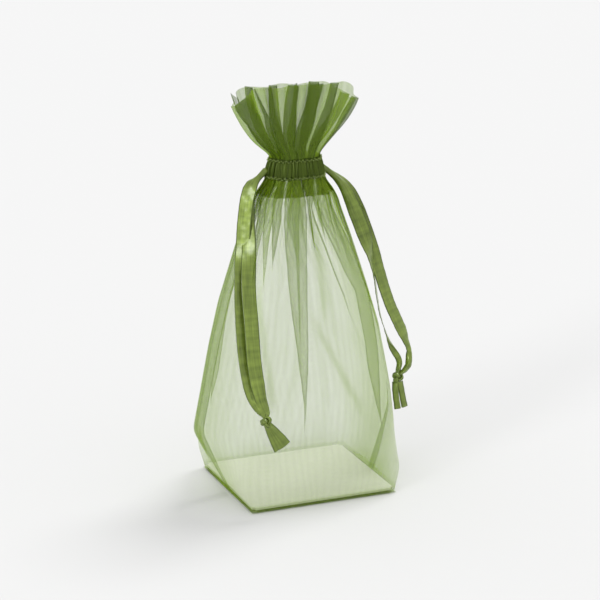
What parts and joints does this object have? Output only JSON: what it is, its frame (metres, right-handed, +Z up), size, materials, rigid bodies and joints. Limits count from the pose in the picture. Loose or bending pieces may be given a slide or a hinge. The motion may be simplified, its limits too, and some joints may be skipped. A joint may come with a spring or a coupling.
{
  "type": "fabric gift sack",
  "caption": "Sheer drawstring gift sack with a gathered neck and ruffled header, satin ribbon pulls knotted at each side, and a flat base held by a loose board.",
  "frame": {"origin": "centre of the flat base, on the surface the sack stands on", "axes": "+Z up through the drawn neck, -Y the front wall, X between the two side seams"},
  "size_m": [0.1445, 0.1015, 0.268],
  "materials": {
    "organza": "matte",
    "organza_doubled": "matte",
    "organza_header": "matte",
    "thread": "satin",
    "ribbon": "satin",
    "board": "matte"
  },
  "bodies": {
    "sack": {"rear_panel": "organza", "rear_facing": "organza_doubled", "rear_channel": "organza_doubled", "rear_header": "organza_header", "rear_upper_stitching": "thread", "rear_lower_stitching": "thread", "base_panel": "organza", "left_corner_seam": "organza_doubled", "right_corner_seam": "organza_doubled", "left_ribbon_rear_run": "ribbon", "right_ribbon_rear_run": "ribbon"},
    "front_wall": {"front_panel": "organza", "front_facing": "organza_doubled", "front_channel": "organza_doubled", "front_header": "organza_header", "front_upper_stitching": "thread", "front_lower_stitching": "thread", "left_side_seam": "organza_doubled", "right_side_seam": "organza_doubled", "left_ribbon_front_run": "ribbon", "right_ribbon_front_run": "ribbon"},
    "board": {"base_board": "board"},
    "left_pull": {"left_ribbon_outer_leg": "ribbon", "left_ribbon_inner_leg": "ribbon"},
    "right_pull": {"right_ribbon_outer_leg": "ribbon", "right_ribbon_inner_leg": "ribbon"},
    "left_knot": {"left_ribbon_knot": "ribbon", "left_ribbon_front_tail": "ribbon", "left_ribbon_back_tail": "ribbon"},
    "right_knot": {"right_ribbon_knot": "ribbon", "right_ribbon_front_tail": "ribbon", "right_ribbon_back_tail": "ribbon"}
  },
  "joints": [
    {"name": "mouth_open", "type": "hinge", "parent": "sack", "child": "front_wall", "pos_m": [0, -0.046, 0.002], "axis": [1, 0, 0], "range_deg": [0, 9]},
    {"name": "board_lift", "type": "slide", "parent": "sack", "child": "board", "axis": [0, 0, 1], "range_m": [0, 0.03]},
    {"name": "left_ribbon_swing", "type": "hinge", "parent": "front_wall", "child": "left_pull", "pos_m": [-0.0183, 0.004, 0.214], "axis": [0, 1, 0], "range_deg": [0, 80]},
    {"name": "right_ribbon_swing", "type": "hinge", "parent": "front_wall", "child": "right_pull", "pos_m": [0.0158, 0.004, 0.214], "axis": [0, -1, 0], "range_deg": [0, 80]},
    {"name": "left_ribbon_draw", "type": "slide", "parent": "left_pull", "child": "left_knot", "axis": [-0.02, 0.14, 0.99], "range_m": [0, 0.0281], "deforming": ["left_ribbon_outer_leg", "left_ribbon_inner_leg"]},
    {"name": "right_ribbon_draw", "type": "slide", "parent": "right_pull", "child": "right_knot", "axis": [-0.0501, 0.1804, 0.9823], "range_m": [0, 0.0281], "deforming": ["right_ribbon_outer_leg", "right_ribbon_inner_leg"]}
  ],
  "couplings": [
    {"joint": "left_ribbon_draw", "follows": "mouth_open", "m_per_rad": 0.1783},
    {"joint": "right_ribbon_draw", "follows": "mouth_open", "m_per_rad": 0.1783}
  ]
}
